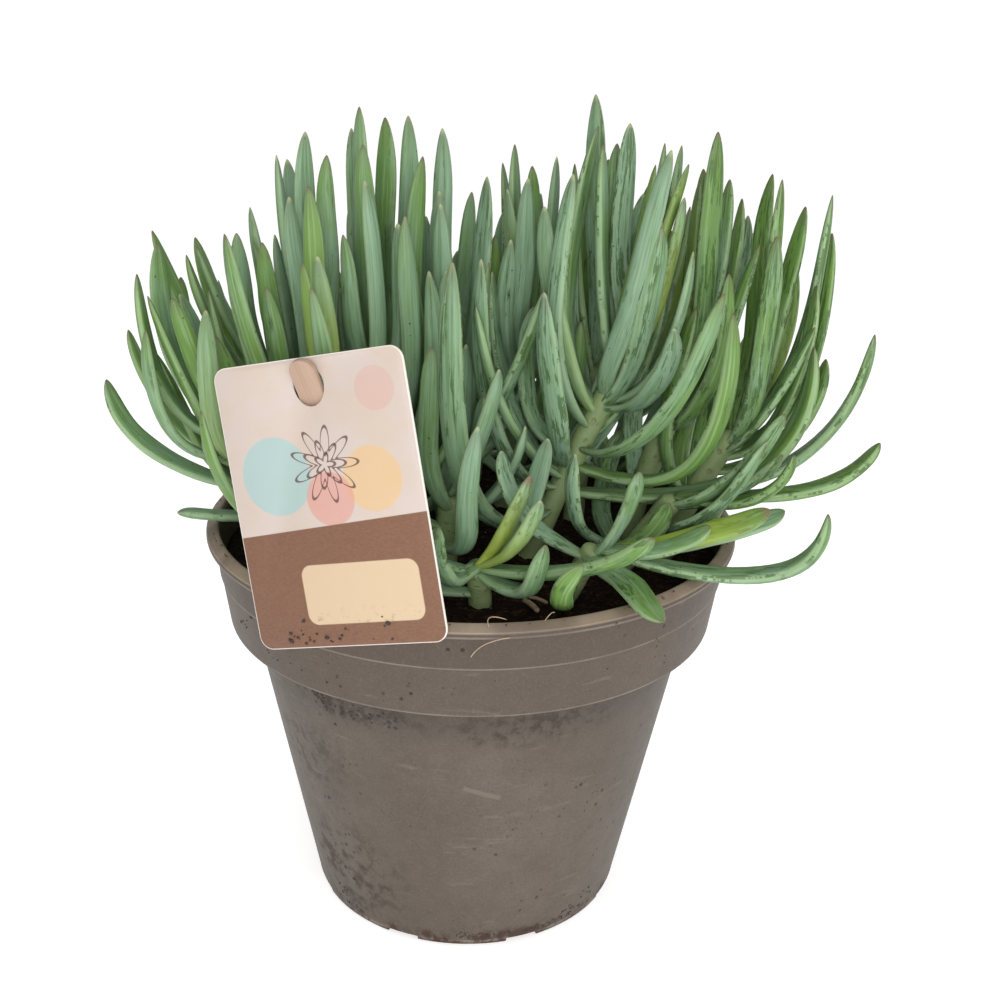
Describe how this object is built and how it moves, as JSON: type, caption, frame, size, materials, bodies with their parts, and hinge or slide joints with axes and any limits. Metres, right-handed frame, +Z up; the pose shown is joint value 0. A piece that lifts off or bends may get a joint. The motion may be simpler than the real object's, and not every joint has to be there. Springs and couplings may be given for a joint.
{
  "type": "potted succulent",
  "caption": "Potted blue chalksticks: upright grey-green finger leaves on short stems in a tapered plastic nursery pot of peat, with a blank card label on a wooden stick.",
  "frame": {"origin": "centre of the pot's underside, on the surface it stands on", "axes": "+Z up, -Y towards the front of the pot, where the label leans on the rim"},
  "size_m": [0.2412, 0.2044, 0.262],
  "materials": {
    "pot_plastic": "satin taupe plastic, dusted with peat",
    "peat": "damp black-brown peat crumbs",
    "label_card": "coated card with a soft sheen",
    "stick_wood": "bare pale birch",
    "leaf": "grey-green skin with a waxy bloom"
  },
  "bodies": {
    "root": {"pot": "pot_plastic", "soil": "peat", "label": "label_card", "label_stick": "stick_wood", "leafy_stem_01": "leaf", "leafy_stem_02": "leaf", "leafy_stem_03": "leaf", "leafy_stem_04": "leaf", "leafy_stem_05": "leaf", "leafy_stem_06": "leaf", "leafy_stem_07": "leaf", "leafy_stem_08": "leaf", "leafy_stem_09": "leaf", "leafy_stem_10": "leaf", "leafy_stem_11": "leaf", "leafy_stem_12": "leaf", "leafy_stem_13": "leaf", "leafy_stem_14": "leaf", "leafy_stem_15": "leaf", "leafy_stem_16": "leaf", "leafy_stem_17": "leaf"}
  },
  "joints": []
}
